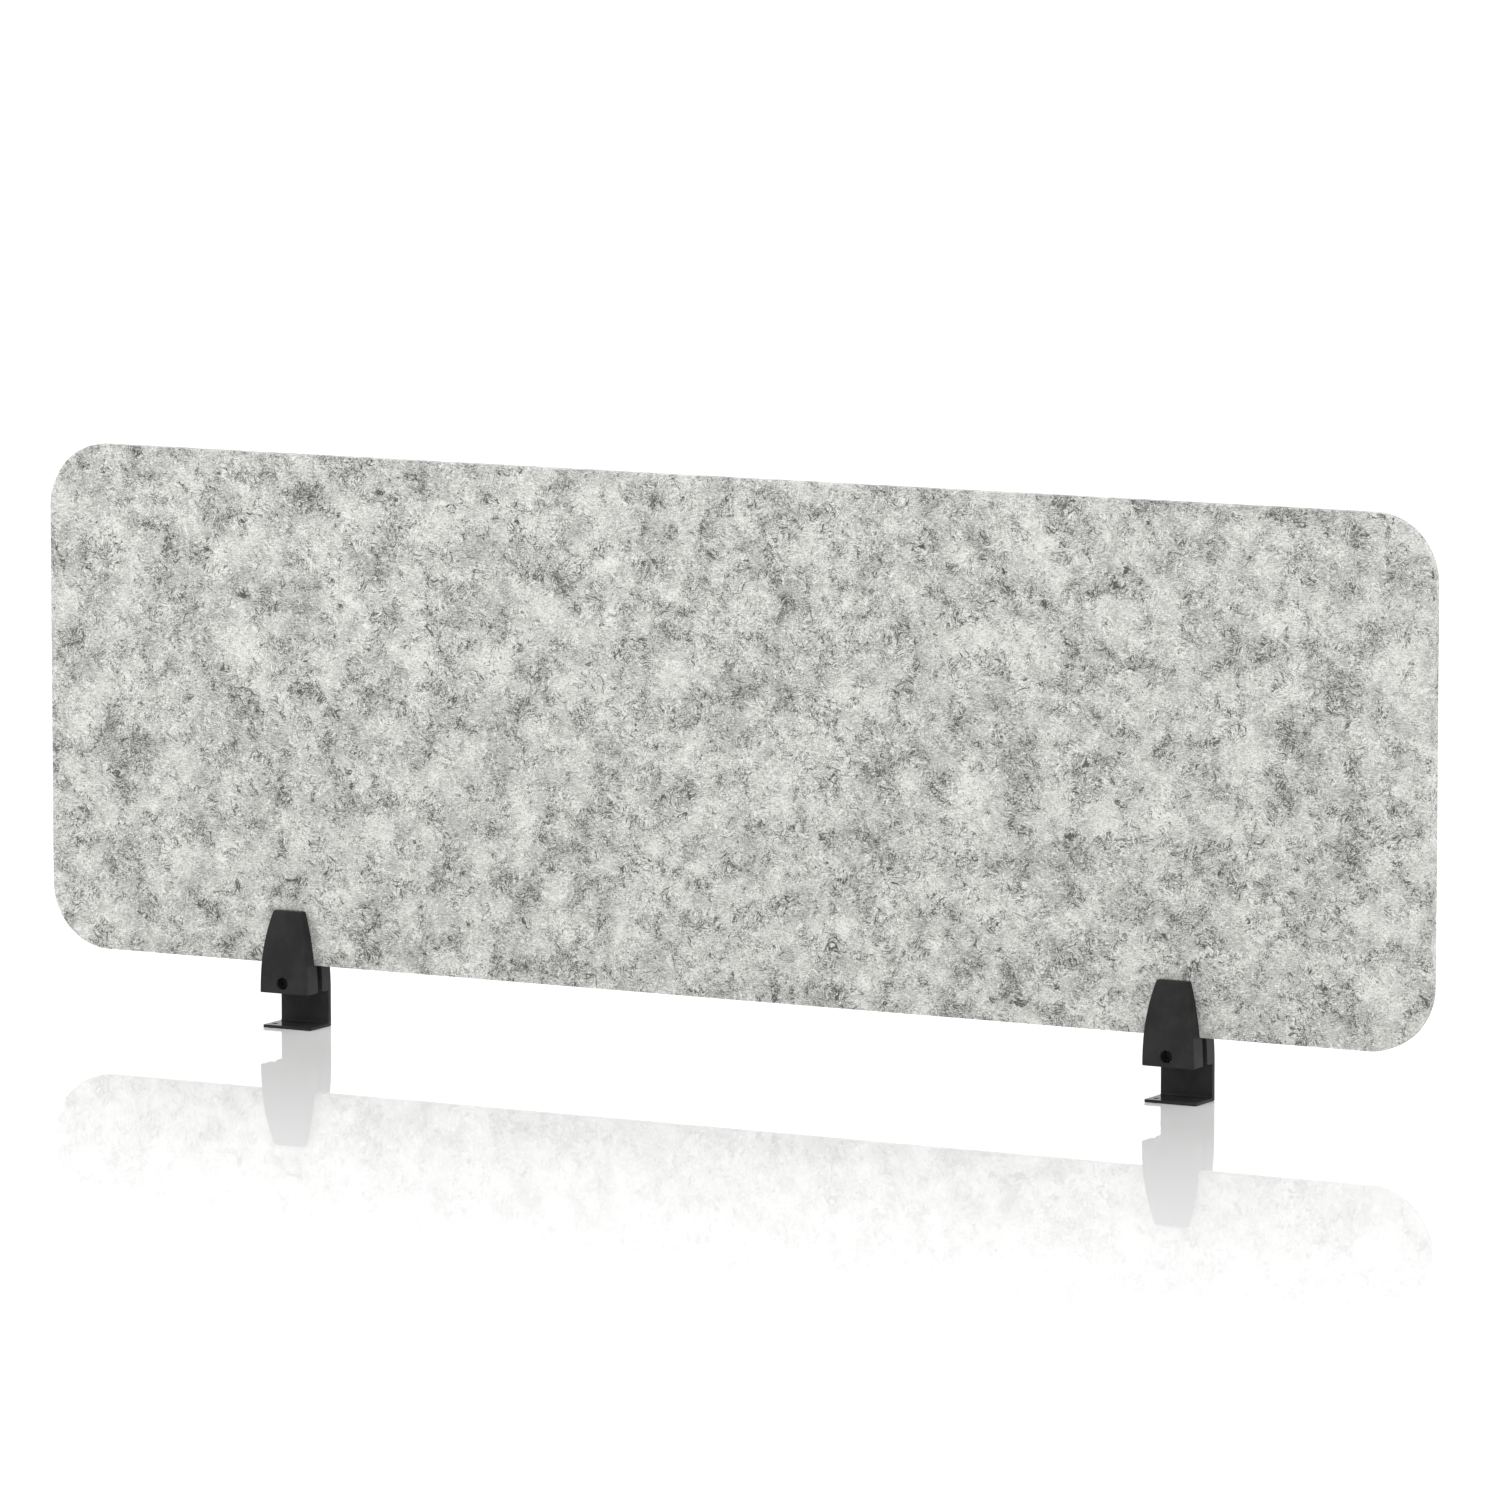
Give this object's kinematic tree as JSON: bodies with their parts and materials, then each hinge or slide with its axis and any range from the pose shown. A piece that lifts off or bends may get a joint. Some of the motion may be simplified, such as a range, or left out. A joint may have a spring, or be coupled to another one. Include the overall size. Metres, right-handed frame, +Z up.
{
  "type": "desk privacy panel",
  "caption": "Felt desk privacy board with rounded corners, held upright by black screw clamps whose jaws grip its lower edge and whose hooks take the edge of a desk top.",
  "frame": {"origin": "under the middle of the board, level with the feet of the clamps, halfway through their depth", "axes": "+X along the board, to the right of the person at the desk; -Y towards that person; +Z up"},
  "size_m": [1.524, 0.0456, 0.572],
  "materials": {
    "felt": "marled light grey needle felt, matt",
    "clamp_coat": "black satin coat on a casting",
    "black_steel": "blackened steel, satin",
    "bright_steel": "zinc plated",
    "insert_brass": "machined",
    "pad_rubber": "matt"
  },
  "bodies": {
    "board": {"felt_panel": "felt"},
    "left_clamp": {"left_bracket": "clamp_coat", "left_threaded_insert": "insert_brass", "left_guide_pins": "bright_steel", "left_back_grip_pad": "pad_rubber", "left_bracket_desk_pad": "pad_rubber"},
    "left_jaw": {"left_front_jaw": "clamp_coat", "left_washer": "bright_steel", "left_front_grip_pad": "pad_rubber", "left_jaw_desk_pad": "pad_rubber"},
    "left_screw": {"left_clamp_screw": "black_steel"},
    "right_clamp": {"right_bracket": "clamp_coat", "right_threaded_insert": "insert_brass", "right_guide_pins": "bright_steel", "right_back_grip_pad": "pad_rubber", "right_bracket_desk_pad": "pad_rubber"},
    "right_jaw": {"right_front_jaw": "clamp_coat", "right_washer": "bright_steel", "right_front_grip_pad": "pad_rubber", "right_jaw_desk_pad": "pad_rubber"},
    "right_screw": {"right_clamp_screw": "black_steel"}
  },
  "joints": [
    {"name": "left_clamp_slide", "type": "slide", "parent": "board", "child": "left_clamp", "axis": [1, 0, 0], "range_m": [-0.185, 0.4]},
    {"name": "left_jaw_slide", "type": "slide", "parent": "left_clamp", "child": "left_jaw", "axis": [0, -1, 0], "range_m": [0, 0.004]},
    {"name": "left_screw_turn", "type": "hinge", "parent": "left_jaw", "child": "left_screw", "pos_m": [-0.484, -0.02, 0.046], "axis": [0, -1, 0], "range_deg": [0, 1440]},
    {"name": "right_clamp_slide", "type": "slide", "parent": "board", "child": "right_clamp", "axis": [1, 0, 0], "range_m": [-0.4, 0.17]},
    {"name": "right_jaw_slide", "type": "slide", "parent": "right_clamp", "child": "right_jaw", "axis": [0, -1, 0], "range_m": [0, 0.004]},
    {"name": "right_screw_turn", "type": "hinge", "parent": "right_jaw", "child": "right_screw", "pos_m": [0.494, -0.02, 0.046], "axis": [0, -1, 0], "range_deg": [0, 1440]}
  ],
  "couplings": [
    {"joint": "left_screw_turn", "follows": "left_jaw_slide", "rad_per_m": 6283.2},
    {"joint": "right_screw_turn", "follows": "right_jaw_slide", "rad_per_m": 6283.2}
  ]
}
